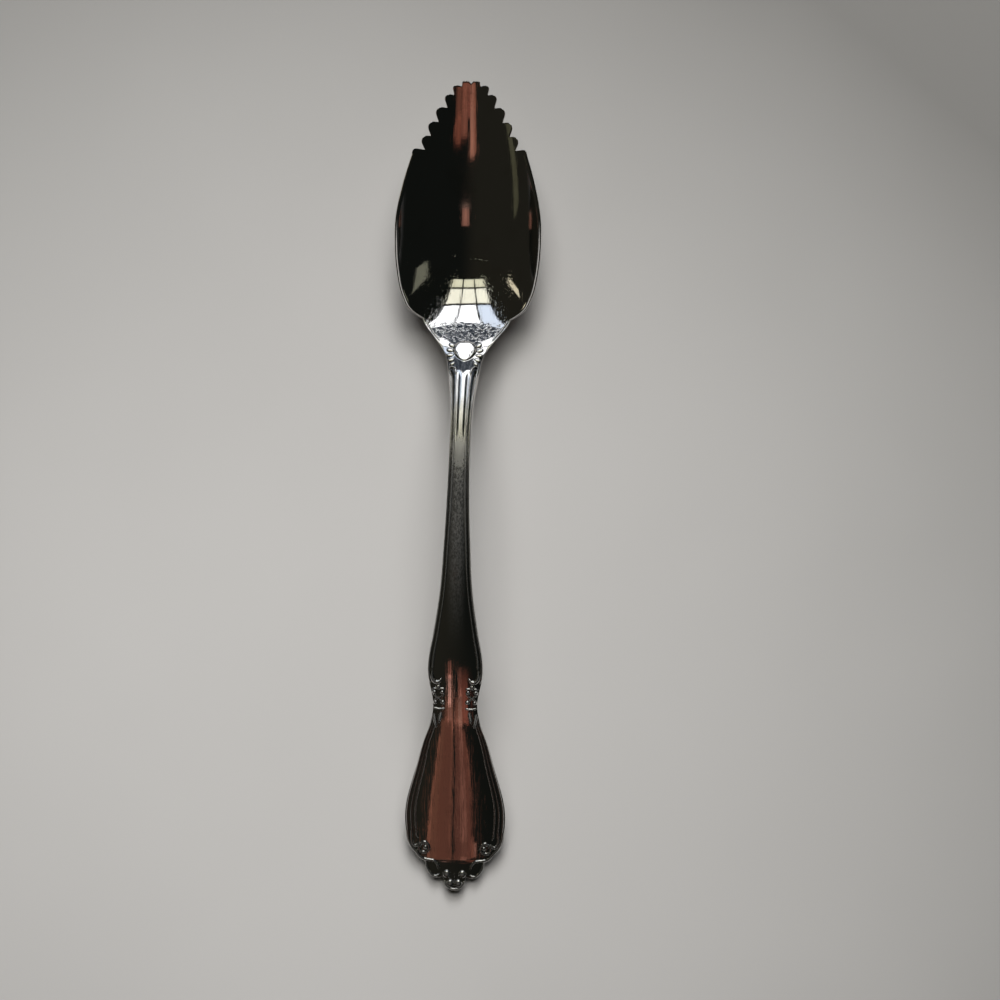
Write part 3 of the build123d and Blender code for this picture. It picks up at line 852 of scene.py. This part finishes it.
@dataclass
class Bowl(SpoonPart):
    """The dished bowl and its serrated tip."""

    row_step: float = 0.22
    columns: int = 121
    crests: tuple[tuple[float, float, float], ...] = (
        (11.4, 68.75, 0.8), (10.65, 71.5, 1.25), (9.17, 74.4, 1.25), (7.57, 77.3, 1.25), (5.7, 79.95, 1.0),
        (3.9, 81.72, 0.7), (1.8, 82.5, 0.45),
    )  # fmt: skip
    roots: tuple[tuple[float, float], ...] = (
        (9.16, 68.7), (8.0, 71.5), (6.49, 74.3), (4.78, 77.2), (3.4, 79.75), (1.87, 81.5),
    )  # fmt: skip
    root_radius: float = 0.16
    notch: tuple[tuple[float, float], ...] = ((0.5, 82.5), (0.0, 82.0))
    core_width: float = 6.3
    core_length: float = 12.3
    tip_edge: float = 0.2

    def build(self) -> None:
        """Builds both pieces."""
        self.stand_for(self.dish(), Section.BOWL)
        self.stand_for(self.tip(), Section.TIP)

    def dish(self) -> bpy.types.Object:
        """The bowl from the notch to the shoulder.

        Returns:
            Its object.
        """
        form = self.form
        y = self.rows(form.notch, form.shoulder, self.row_step)
        half = form.bowl_half(y)
        radius = form.edge_radius
        x, sink = self.plate.across(half, self.columns, radius)
        rim = np.linspace(0, 1, 9)[None, :]
        inner = half[:, None] - form.rim_width - 0.35
        strip = inner + rim * (half[:, None] - radius - inner)
        flat = inner * np.linspace(-1, 1, self.columns)[None, :]
        edge = x[:, -self.plate.round_steps :]
        x = np.hstack([-edge[:, ::-1], -strip[:, :0:-1], flat, strip[:, 1:], edge])
        drop = sink[:, : self.plate.round_steps]
        level = np.zeros((len(y), x.shape[1] - 2 * self.plate.round_steps))
        sink = np.hstack([drop, level, drop[:, ::-1]])
        rows = y[:, None]
        top = stack(x, rows, form.bowl_top(x, rows) - sink)
        back = stack(x, rows, form.bowl_back(x, rows))
        lip = half[:, None] - form.rim_width
        dull = ease(0.06, 0.14, np.abs(x) - lip) * ease(0.36, 0.28, np.abs(x) - lip) * ease(55, 49, rows)
        return self.plate.closed(Section.BOWL.value + "_dish", top, back, dull)

    def outline(self) -> np.ndarray:
        """Serrated outline of the right side, from the shoulder to the notch in the nose.

        Returns:
            Points (x, y).
        """
        corners = [(self.form.bowl_half(self.form.shoulder).item(), self.form.shoulder)]
        radii = [0.0]
        for (x, y, radius), root in zip(self.crests, self.roots):
            corners += [(x, y), root]
            radii += [radius, self.root_radius]
        corners += [self.crests[-1][:2], *self.notch]
        radii += [self.crests[-1][2], self.root_radius, 0.0]
        corners = np.array(corners)
        points = [corners[0]]
        for i in range(1, len(corners) - 1):
            points += self.rounded(corners[i - 1], corners[i], corners[i + 1], radii[i])
        points.append(corners[-1])
        points = np.array(points)
        along = np.concatenate([[0], np.cumsum(np.hypot(*np.diff(points, axis=0).T))])
        at = np.linspace(0, along[-1], int(along[-1] / 0.1))
        return np.column_stack([np.interp(at, along, points[:, 0]), np.interp(at, along, points[:, 1])])

    def rounded(self, before: np.ndarray, corner: np.ndarray, after: np.ndarray, radius: float) -> list[np.ndarray]:
        """Points of the arc that rounds a corner.

        Args:
            before: Corner before it.
            corner: The corner.
            after: Corner after it.
            radius: Radius wanted.

        Returns:
            Points from one side of the corner to the other.
        """
        u, v = before - corner, after - corner
        room = 0.88 * min(np.hypot(*u), np.hypot(*v))
        u, v = u / np.hypot(*u), v / np.hypot(*v)
        half_turn = 0.5 * np.arccos(np.clip(u @ v, -1, 1))
        reach = min(radius / np.tan(half_turn), room)
        true_radius = reach * np.tan(half_turn)
        middle = corner + (u + v) / np.hypot(*(u + v)) * true_radius / np.sin(half_turn)
        first, last = corner + u * reach - middle, corner + v * reach - middle
        start = atan2(first[1], first[0])
        sweep = (atan2(last[1], last[0]) - start + pi) % (2 * pi) - pi
        return [
            middle + true_radius * np.array([cos(start + sweep * t), sin(start + sweep * t)])
            for t in np.linspace(0, 1, 9)
        ]

    def tip(self) -> bpy.types.Object:
        """The serrated tip, whose rows fan out from the middle to the teeth.

        Returns:
            Its object.
        """
        form = self.form
        grid, sink = fan(self.outline(), form.shoulder, self.core_width, self.core_length, self.tip_edge)
        x, y = grid[..., 0], grid[..., 1]
        top = stack(x, y, form.sheet(x, y) - sink)
        back = stack(x, y, np.minimum(form.bowl_back(x, y) + 0.6 * sink, form.sheet(x, y) - 0.5 - sink))
        return self.plate.closed(Section.TIP.value + "_teeth", top, back)


def fan(
    outline: np.ndarray, base: float, core_width: float, core_length: float, radius: float
) -> tuple[np.ndarray, np.ndarray]:
    """Grid whose rows run from an oval core out to a free outline, alike on both sides.

    Args:
        outline: Outline of the right side, from the base line to the middle.
        base: Y of the base line, on which the core's centre lies.
        core_width: Half width of the core.
        core_length: Its length, negative where it points to -Y.
        radius: Radius of the plate's edge.

    Returns:
        Points (x, y), and how far the edge's rounding lowers each.
    """
    angles = np.linspace(0, pi / 2, 2001)
    core = np.column_stack([core_width * np.cos(angles), base + core_length * np.sin(angles)])
    nearest = [int(np.argmin(np.hypot(*(core - p).T))) for p in outline]
    nearest = np.maximum.accumulate(nearest)
    nearest[0], nearest[-1] = 0, 2000
    start = core[nearest]
    start[-1, 0] = 0.0
    reach = outline - start
    length = np.hypot(*reach.T)
    turn = np.linspace(0, pi / 2, 6)[1:]
    inset = np.concatenate([[1.0] * 9, np.zeros(5)])
    inner = np.linspace(0, 1, 10)[1:]
    shares = np.hstack(
        [
            inner[None, :] * ((length - radius) / length)[:, None],
            1 - radius * (1 - np.sin(turn))[None, :] / length[:, None],
        ]
    )
    right = start[:, None, :] + shares[..., None] * reach[:, None, :]
    middle = np.linspace(0, 1, 41)
    body = np.stack([middle[None, :] * start[:, :1], np.broadcast_to(start[:, 1:], (len(start), 41))], -1)
    half = np.concatenate([body, right], 1)
    sink = np.concatenate([np.zeros(41), inset[:9] * 0, radius * (1 - np.cos(turn))])
    mirrored = half[:, :0:-1] * np.array([-1.0, 1.0])
    grid = np.concatenate([mirrored, half], 1)
    drop = np.concatenate([sink[:0:-1], sink])
    return grid, np.broadcast_to(drop, grid.shape[:2])


@dataclass
class Handle(SpoonPart):
    """Neck, stem, waist and panel."""

    row_step: float = 0.2
    edge: float = 0.14
    shield_top: float = 30.1
    shield_length: float = 4.3
    shield_half: float = 2.4

    def build(self) -> None:
        """Builds the four sections and what is coined on them."""
        form = self.form
        for section, start, finish, columns in (
            (Section.NECK, form.notch, form.stem_top, 121),
            (Section.STEM, form.stem_top, form.waist_top, 81),
            (Section.WAIST, form.waist_top, form.panel_top, 81),
            (Section.PANEL, form.panel_top, form.end_top, 121),
        ):
            self.stand_for(self.bar(section, start, finish, columns), section)
        self.attach(self.neck_ornament())
        self.attach(self.stem_threads())
        self.attach(self.collar())
        self.attach(self.panel_threads())

    def bar(self, section: Section, start: float, finish: float, columns: int) -> bpy.types.Object:
        """One plain section between two stations.

        Args:
            section: Which one.
            start: Its upper station.
            finish: Its lower station.
            columns: Places across.

        Returns:
            Its object.
        """
        form = self.form
        step = self.row_step / 2 if section is Section.NECK else self.row_step
        y = self.rows(start, finish, step)
        x, sink = self.plate.across(form.handle_half(y), columns, self.edge)
        rows = y[:, None]
        top = form.sheet(x, rows) - sink
        if section is Section.NECK:
            top = top + self.shield(x, rows)
        if section is Section.STEM:
            top = top + self.reeding(x, rows)
        back = form.handle_back(x, rows) + sink * ease(form.notch, form.notch - 4, rows)
        back = np.minimum(back, top - 0.35)
        return self.plate.closed(section.value + "_bar", stack(x, rows, top), stack(x, rows, back))

    def shield(self, x: np.ndarray, y: np.ndarray) -> np.ndarray:
        """Relief of the plain shield on the neck.

        Args:
            x: Places across.
            y: Places along.

        Returns:
            Its height.
        """
        outline = Line(((0, 0), (0.05, 0.42), (0.16, 0.8), (0.34, 1), (0.55, 0.99), (0.74, 0.78), (0.9, 0.42), (1, 0)))
        down = (self.shield_top - y) / self.shield_length
        width = self.shield_half * outline(down)
        inside = np.minimum(width - np.abs(x), 1.4 * self.shield_length * np.minimum(down, 1 - down))
        return (0.1 + 0.17 * self.shield_length * (1 - down)) * ease(0, 0.6, inside)

    def reeding(self, x: np.ndarray, y: np.ndarray) -> np.ndarray:
        """Relief of the three round ridges down the stem's top.

        Args:
            x: Places across.
            y: Places along.

        Returns:
            Its height.
        """
        aside = np.abs(x)
        beside = np.interp(y, (8, 14, 20, 24), (1.3, 1.36, 1.46, 1.6))
        relief = np.maximum(-0.2 * x**2, -0.03 - 0.45 * (aside - beside) ** 2)
        return relief * ease(8, 13, y) * ease(24.2, 22, y)

    def edge_path(self, start: float, finish: float, inset: Line) -> np.ndarray:
        """Path that follows the right edge at an inset.

        Args:
            start: Y where it starts.
            finish: Y where it ends.
            inset: Distance from the edge at each y.

        Returns:
            Points (x, y).
        """
        y = self.rows(start, finish, 0.2)
        return np.column_stack([self.form.handle_half(y) - inset(y), y])

    def neck_ornament(self) -> bpy.types.Object:
        """Fluted shells beside the shield, and the line that frames the flare."""
        flutes = [
            Bead(2.75, 29.15, 0.78, 0.54, 0.2, 42, -20),
            Bead(3.0, 28.1, 0.84, 0.54, 0.21, 20, -20),
            Bead(2.9, 27.05, 0.84, 0.52, 0.21, 0, -20),
            Bead(2.65, 26.05, 0.78, 0.5, 0.2, -20, -18),
            Bead(2.35, 25.2, 0.62, 0.42, 0.19, -40, -16),
        ]
        arc = path_through([(2.95, 24.35), (2.4, 24.5), (1.85, 24.25), (1.5, 23.6), (1.42, 22.8)])
        frame_line = self.edge_path(34.6, 29.9, Line(((36, 0.62), (28, 0.5))))
        strokes = [
            Stroke(arc, 0.3, 0.32, 0.4, 1.2),
            Stroke(frame_line, 0.22, 0.2, 0.8, 1.6),
        ]
        return self.coining.strike("neck_ornament", strokes, flutes, 0.0)

    def stem_threads(self) -> bpy.types.Object:
        """Threads along the stem, and the hooks that end them."""
        inset = Line(((24, 1.8), (20, 1.36), (14, 1.02), (6, 0.9), (-10, 0.88), (-26, 0.92), (-34, 0.98), (-36, 1.0)))
        inner = self.edge_path(23.6, -35.8, inset)
        low_x = float(inner[-1, 0])
        hook = path_through([(low_x, -35.8), (4.65, -37.4), (4.3, -38.3), (3.7, -38.65), (3.1, -38.4), (2.8, -37.8)])
        outer = self.edge_path(25.4, -38.9, Line(((26, 0.4), (12, 0.3), (-38, 0.32))))
        slim = Line(((24, 0.3), (19, 0.3), (13, 0.35), (8, 0.55), (-30, 0.6), (-36, 0.9), (-39, 1.0)))
        return self.coining.strike(
            "stem_threads",
            [
                Stroke(inner, 0.4, 0.42, 1.5, 0.0, swell=slim),
                Stroke(hook, 0.6, 0.5, 2.5, 1.0),
                Stroke(outer, 0.36, 0.34, 1.0, 1.0, swell=slim),
            ],
            [],
            0.2,
        )

    def collar(self) -> bpy.types.Object:
        """Bound collar at the waist: cords, beads and the leaves under them."""
        strokes = [
            Stroke(path_through([(2.0, -40.05), (3.3, -40.0), (4.75, -40.1)]), 0.22, 0.26, 0.4, 0.3),
            Stroke(path_through([(2.0, -44.0), (3.3, -44.2), (4.4, -43.9)]), 0.22, 0.24, 0.4, 0.3),
            Stroke(path_through([(2.2, -40.7), (2.9, -41.6), (3.9, -42.3), (4.3, -43.2)]), 0.24, 0.26, 0.3, 0.3),
            Stroke(path_through([(4.55, -40.6), (3.9, -41.5), (2.9, -42.3), (2.2, -43.2)]), 0.24, 0.26, 0.3, 0.3),
        ]
        beads = [
            Bead(3.4, -39.55, 0.62, 0.46, 0.4),
            Bead(2.6, -40.7, 0.5, 0.42, 0.42),
            Bead(4.15, -40.7, 0.5, 0.42, 0.42),
            Bead(2.5, -42.75, 0.5, 0.45, 0.42),
            Bead(3.95, -42.8, 0.46, 0.45, 0.42),
            Bead(3.0, -45.7, 0.42, 1.5, 0.34, 12),
            Bead(4.1, -46.2, 0.4, 1.9, 0.34, -10),
        ]
        return self.coining.strike("collar", strokes, beads, 0.3)

    def panel_threads(self) -> bpy.types.Object:
        """Three threads along each edge of the panel."""
        strokes = []
        for share in (0.2, 0.56, 0.92):
            inset = Line(((-47, 1.05 * share), (-55, 1.6 * share), (-66, 2.3 * share), (-70, 2.4 * share)))
            strokes.append(Stroke(self.edge_path(-46.4, -70.0, inset), 0.27, 0.22, 3.0, 0.0))
        return self.coining.strike("panel_threads", strokes, [], 0.15)


@dataclass
class HandleEnd(SpoonPart):
    """Scrolled end of the handle with its lobes and finial."""

    edge: float = 0.16
    core_width: float = 8.2
    core_length: float = -8.7

    def build(self) -> None:
        """Builds the end and what is coined on it."""
        self.stand_for(self.plate_end(), Section.END)
        self.attach(self.scrolls())

    def outline(self) -> np.ndarray:
        """Right outline, from the panel to the middle of the finial.

        Returns:
            Points (x, y).
        """
        shoulder = path_through(
            [(10.15, -70.0), (10.08, -71.3), (9.75, -72.6), (9.1, -73.7), (8.2, -74.75), (7.25, -75.7), (6.5, -76.3)],
            0.1,
        )
        lobe = path_through(
            [(6.15, -76.6), (5.9, -77.2), (5.6, -78.0), (5.0, -78.9), (4.2, -79.7), (3.4, -79.95), (2.75, -79.75)], 0.1
        )
        finial = path_through(
            [(2.5, -79.6), (2.35, -80.2), (2.1, -80.9), (1.75, -81.6), (1.2, -82.15), (0.6, -82.43), (0.0, -82.5)], 0.1
        )
        return np.vstack([shoulder, lobe, finial])

    def plate_end(self) -> bpy.types.Object:
        """The plate of the end.

        Returns:
            Its object.
        """
        form = self.form
        grid, sink = fan(self.outline(), form.end_top, self.core_width, self.core_length, self.edge)
        x, y = grid[..., 0], grid[..., 1]
        top = form.sheet(x, y) - sink
        back = np.minimum(form.handle_back(x, y) + sink, top - 0.5)
        return self.plate.closed(Section.END.value + "_plate", stack(x, y, top), stack(x, y, back))

    def scrolls(self) -> bpy.types.Object:
        """Threads that curl into volutes, the S lines, the rims of the lobes and the finial's beads."""
        turns = np.linspace(0, 1, 90)
        angle = radians(70) + turns * radians(430)
        reach = 1.15 - 0.25 * turns
        volute = np.column_stack([6.4 + reach * np.cos(angle), -73.6 + reach * np.sin(angle)])
        hook = path_through([(8.81, -70.0), (8.93, -71.5), (8.75, -72.6), (8.2, -73.3), (7.65, -73.1), (7.35, -72.4)])
        strokes = [
            Stroke(volute, 0.28, 0.36, 0.4, 0.6),
            Stroke(path_through([(7.95, -70.0), (7.85, -71.0), (7.6, -71.8)]), 0.27, 0.24, 0.0, 0.8),
            Stroke(hook, 0.32, 0.34, 0.0, 0.6),
            Stroke(
                path_through([(9.67, -70.0), (9.6, -71.3), (9.2, -72.7), (8.5, -73.9), (7.7, -74.8), (7.0, -75.65),
                              (5.55, -76.2), (4.2, -76.45), (3.45, -77.2), (3.3, -78.4)]),
                0.3, 0.34, 0.0, 1.0,
            ),
            Stroke(
                path_through([(5.9, -76.6), (5.6, -77.9), (4.95, -78.95), (3.9, -79.6), (3.2, -79.2)]),
                0.24, 0.28, 0.6, 0.6,
            ),
            Stroke(
                path_through([(-2.0, -80.4), (-1.7, -81.3), (-0.9, -82.0), (0.0, -82.2), (0.9, -82.0), (1.7, -81.3),
                              (2.0, -80.4)]),
                0.22, 0.26, 0.6, 0.6,
            ),
        ]  # fmt: skip
        beads = [
            Bead(1.6, -79.05, 0.85, 0.85, 0.5),
            Bead(0.85, -80.95, 0.78, 0.82, 0.5),
            Bead(6.0, -73.5, 0.5, 0.5, 0.45),
        ]
        return self.coining.strike("end_scrolls", strokes, beads, 0.15)


@dataclass(frozen=True)
class GlowStrip:
    """A dim strip above the spoon: its sides along X, its near and far ends along Y, and its light."""

    left: float
    right: float
    near: float
    far: float
    glow: tuple[float, float, float]


@dataclass
class Studio:
    """Table, window light, room and camera."""

    camera_place: tuple[float, float, float] = (29.0, -1.96, 400.0)
    camera_target: tuple[float, float, float] = (7.4, -1.96, 0.0)
    roll: float = -1.4
    lens: float = 69.88
    strip_height: float = 430.0
    handle_near_strips: tuple[GlowStrip, ...] = (
        GlowStrip(-89, -72, -362, -388, (0.2, 0.065, 0.04)),
        GlowStrip(-70, -56, -300, -328, (0.4, 0.14, 0.1)),
        GlowStrip(-72, -58, -328, -366, (1.05, 0.52, 0.42)),
        GlowStrip(-74, -56, -366, -388, (0.45, 0.18, 0.13)),
        GlowStrip(-56, -49, -296, -388, (0.2, 0.07, 0.045)),
        GlowStrip(-40, -24, -362, -388, (0.3, 0.1, 0.065)),
        GlowStrip(-24, -8, -312, -352, (0.3, 0.1, 0.07)),
        GlowStrip(-24, -8, -352, -388, (0.52, 0.24, 0.175)),
        GlowStrip(-8, 21, -312, -380, (0.28, 0.075, 0.048)),
    )
    handle_far_strips: tuple[GlowStrip, ...] = (
        GlowStrip(-112, -104, -405, -440, (0.26, 0.09, 0.055)),
        GlowStrip(-104, -89, -390, -470, (0.14, 0.047, 0.028)),
        GlowStrip(-89, -72, -388, -470, (0.12, 0.036, 0.022)),
        GlowStrip(-72, -56, -388, -470, (0.12, 0.037, 0.023)),
        GlowStrip(-56, -49, -388, -470, (0.16, 0.052, 0.033)),
        GlowStrip(-40, -24, -388, -470, (0.1, 0.03, 0.02)),
        GlowStrip(-24, -8, -388, -415, (0.24, 0.09, 0.063)),
        GlowStrip(-24, -8, -415, -470, (0.14, 0.048, 0.032)),
        GlowStrip(-8, 4, -398, -470, (0.13, 0.04, 0.026)),
        GlowStrip(4, 10, -408, -470, (0.2, 0.065, 0.042)),
        GlowStrip(10, 17, -416, -470, (0.26, 0.11, 0.08)),
    )
    bowl_near_strips: tuple[GlowStrip, ...] = (
        GlowStrip(139, 159, -100, -110, (0.24, 0.07, 0.042)),
        GlowStrip(78, 139, -92, -110, (0.24, 0.07, 0.042)),
        GlowStrip(4, 78, -93, -110, (0.3, 0.1, 0.065)),
        GlowStrip(-22, 4, -104, -110, (0.24, 0.07, 0.048)),
        GlowStrip(-70, -22, -78, -110, (0.5, 0.2, 0.135)),
        GlowStrip(-90, -70, -82, -110, (0.3, 0.1, 0.063)),
    )
    bowl_far_strips: tuple[GlowStrip, ...] = (
        GlowStrip(78, 159, -110, -150, (0.18, 0.06, 0.037)),
        GlowStrip(4, 78, -110, -150, (0.22, 0.07, 0.042)),
        GlowStrip(-22, 4, -110, -150, (0.14, 0.04, 0.026)),
        GlowStrip(-70, -22, -110, -150, (0.18, 0.058, 0.037)),
        GlowStrip(-100, -70, -110, -150, (0.18, 0.06, 0.035)),
    )
    patch_strips: tuple[GlowStrip, ...] = (
        GlowStrip(-22, 46, -26, -49, (0.42, 0.18, 0.13)),
        GlowStrip(-36, 60, -49, -53, (0.16, 0.1, 0.08)),
    )

    def build(self) -> None:
        """Sets up everything that isn't the spoon."""
        self.table()
        self.window()
        self.daylight()
        self.side_lights()
        self.strips("handle_near_strip", self.handle_near_strips, Vector((-1.5, -10, 14)), 12)
        self.strips("handle_far_strip", self.handle_far_strips, None, 180)
        self.strips("bowl_near_strip", self.bowl_near_strips, Vector((0, 66, 7)), 18)
        self.strips("bowl_far_strip", self.bowl_far_strips, Vector((0, 85, 7)), 20)
        self.strips("patch_strip", self.patch_strips, Vector((0, 60, 2)), 16)
        self.room()
        self.camera()

    def table(self) -> None:
        """A flat table top."""
        mesh = bpy.data.meshes.new("table_top")
        size = 2.5
        mesh.from_pydata([(-size, -size, 0), (size, -size, 0), (size, size, 0), (-size, size, 0)], [], [(0, 1, 2, 3)])
        mesh.materials.append(TableFinish().build())
        top = bpy.data.objects.new("table_top", mesh)
        bpy.context.scene.collection.objects.link(top)

    def pane(
        self, name: str, centre: Vector, across: Vector, up: Vector, size: tuple[float, float],
        radiance: tuple[float, float, float], spread: float = 180.0,
    ) -> bpy.types.Object:  # fmt: skip
        """One glowing pane.

        Args:
            name: Its name.
            centre: Its middle, in metres.
            across: Unit vector along its width.
            up: Unit vector along its height.
            size: Width and height, in metres.
            radiance: Light that it gives straight ahead, by colour.
            spread: Angle that the light keeps within, in degrees.

        Returns:
            The lamp.
        """
        light = bpy.data.lights.new(name, "AREA")
        light.shape = "RECTANGLE"
        light.size, light.size_y = size
        strength = max(radiance)
        light.color = tuple(c / strength for c in radiance)
        light.energy = strength * pi * size[0] * size[1]
        if spread < 180:
            light.spread = radians(spread)
            half = radians(spread) / 2
            light.energy *= (tan(half) - half) / tan(half)
        lamp = bpy.data.objects.new(name, light)
        normal = across.cross(up)
        turn = Matrix((across, up, normal)).transposed()
        lamp.matrix_world = Matrix.Translation(centre) @ turn.to_4x4()
        lamp.visible_camera = False
        bpy.context.scene.collection.objects.link(lamp)
        return lamp

    def window(self) -> None:
        """A leaning window of three by three panes, cream above and white below."""
        foot, head = Vector((-0.08, 0.865, 0.436)), Vector((-0.08, 0.5, 1.06))
        up = (head - foot).normalized()
        across = Vector((-1, 0, 0))
        height, width = (head - foot).length, 0.72
        columns, bar = 3, 0.03
        tints = ((2.5, 2.55, 2.65), (1.5, 1.48, 1.26), (1.12, 1.1, 0.83))
        edges = (0.0, 0.422, 0.769, 1.0)
        for row, glow in enumerate(tints):
            low, high = edges[row] * height, edges[row + 1] * height
            for column in range(columns):
                middle = foot + up * (low + high) / 2 + across * width * ((column + 0.5) / columns - 0.5)
                if column == columns - 1 and row == 0:
                    glow = tuple(c * s for c, s in zip(glow, (0.45, 0.5, 0.58)))
                size = (width / columns - bar, high - low - bar)
                self.pane(f"window_pane_{row}_{column}", middle, across, up, size, glow)

    def daylight(self) -> None:
        """Broad soft light from the window's side, which only dull surfaces take up."""
        for name, place, size, glow in (
            ("daylight", Vector((0.05, 0.8, 0.95)), (1.2, 0.8), 4.9),
            ("low_daylight", Vector((0.05, 0.95, 0.6)), (0.35, 0.35), 16.0),
        ):
            toward = (-place).normalized()
            across = Vector((0, 0, 1)).cross(-toward).normalized()
            lamp = self.pane(name, place, across, (-toward).cross(across), size, (glow, 0.99 * glow, 0.97 * glow))
            lamp.visible_glossy = False

    def side_lights(self) -> None:
        """Small far windows that show low in both walls of the bowl."""
        for name, x, y, z, size, glow in (
            ("left_window", -0.82, 0.385, 0.5, (0.06, 0.2), (1.0, 0.9, 0.66)),
            ("right_window", 0.78, 0.3, 0.58, (0.17, 0.24), (0.19, 0.19, 0.145)),
            ("left_leaves", -0.9, -0.157, 0.42, (0.165, 0.12), (0.065, 0.063, 0.037)),
        ):
            centre = Vector((x, y, z))
            toward = (Vector((0, 0.03, 0)) - centre).normalized()
            across = Vector((0, 0, 1)).cross(-toward).normalized()
            self.pane(name, centre, across, (-toward).cross(across), size, glow)

    def strips(self, name: str, strips: tuple[GlowStrip, ...], target: Vector | None, spread: float) -> None:
        """Dim coloured strips above the spoon, which show as its coppery streaks.

        Args:
            name: First part of their names.
            strips: The strips.
            target: Point in millimetres that they face, or none where they face straight down.
            spread: Angle that their light keeps within, in degrees.
        """
        for number, strip in enumerate(strips):
            centre = Vector(((strip.left + strip.right) / 2, (strip.near + strip.far) / 2, self.strip_height))
            back = Vector((0, 0, 1)) if target is None else (centre - target).normalized()
            across = Vector((0, 1, 0)).cross(back).normalized()
            size = ((strip.right - strip.left) * MM, (strip.near - strip.far) * MM)
            self.pane(f"{name}_{number}", centre * MM, across, back.cross(across), size, strip.glow, spread)

    def room(self) -> None:
        """A dark room, paler low down, with a blue-grey wall under the window."""
        world = bpy.data.worlds.new("room")
        bpy.context.scene.world = world
        world.use_nodes = True
        graph = Graph(world.node_tree)
        way = graph.add("ShaderNodeTexCoord").outputs["Generated"]
        x, y, z = graph.add("ShaderNodeSeparateXYZ", {0: way}).outputs
        ceiling = graph.blend(graph.span(x, 0.15, -0.25), (0.007, 0.008, 0.007, 1), (0.018, 0.017, 0.013, 1))
        base = graph.blend(graph.span(z, 0.1, 0.0), ceiling, (0.05, 0.05, 0.05, 1))
        wall = graph.math("MULTIPLY", graph.span(y, 0.6, 0.8), graph.span(z, 0.5, 0.46))
        litter = graph.blend(graph.span(graph.noise(way, 60, 3), 0.45, 0.6), (0.02, 0.028, 0.04, 1), (0.2, 0.22, 0.26, 1))
        lit = graph.blend(wall, base, litter)
        out = world.node_tree.nodes["Background"]
        graph.link(lit, out.inputs["Color"])
        out.inputs["Strength"].default_value = 1.0

    def camera(self) -> None:
        """The camera, straight above and a little to the right, as in the picture."""
        lens = bpy.data.cameras.new("camera")
        lens.lens = self.lens
        lens.sensor_width = 36.0
        lens.clip_start = 0.01
        camera = bpy.data.objects.new("camera", lens)
        place, target = Vector(self.camera_place) * MM, Vector(self.camera_target) * MM
        look = (target - place).normalized()
        up = Vector((sin(radians(self.roll)), cos(radians(self.roll)), 0))
        right = look.cross(up).normalized()
        up = right.cross(look).normalized()
        turn = Matrix((right, up, -look)).transposed()
        camera.matrix_world = Matrix.Translation(place) @ turn.to_4x4()
        bpy.context.scene.collection.objects.link(camera)
        bpy.context.scene.camera = camera


def main() -> None:
    """Builds the spoon section by section, then its surroundings."""
    logging.basicConfig(level=logging.INFO, format="%(name)s %(message)s")
    bpy.context.scene.view_settings.view_transform = "Standard"
    steel = SteelFinish().build()
    form = SpoonForm()
    plate = Plate(form)
    coining = Coining(form, steel)
    for part in (Bowl, Handle, HandleEnd):
        part(form, plate, coining, steel).build()
    Studio().build()


if __name__ == "__main__":
    main()
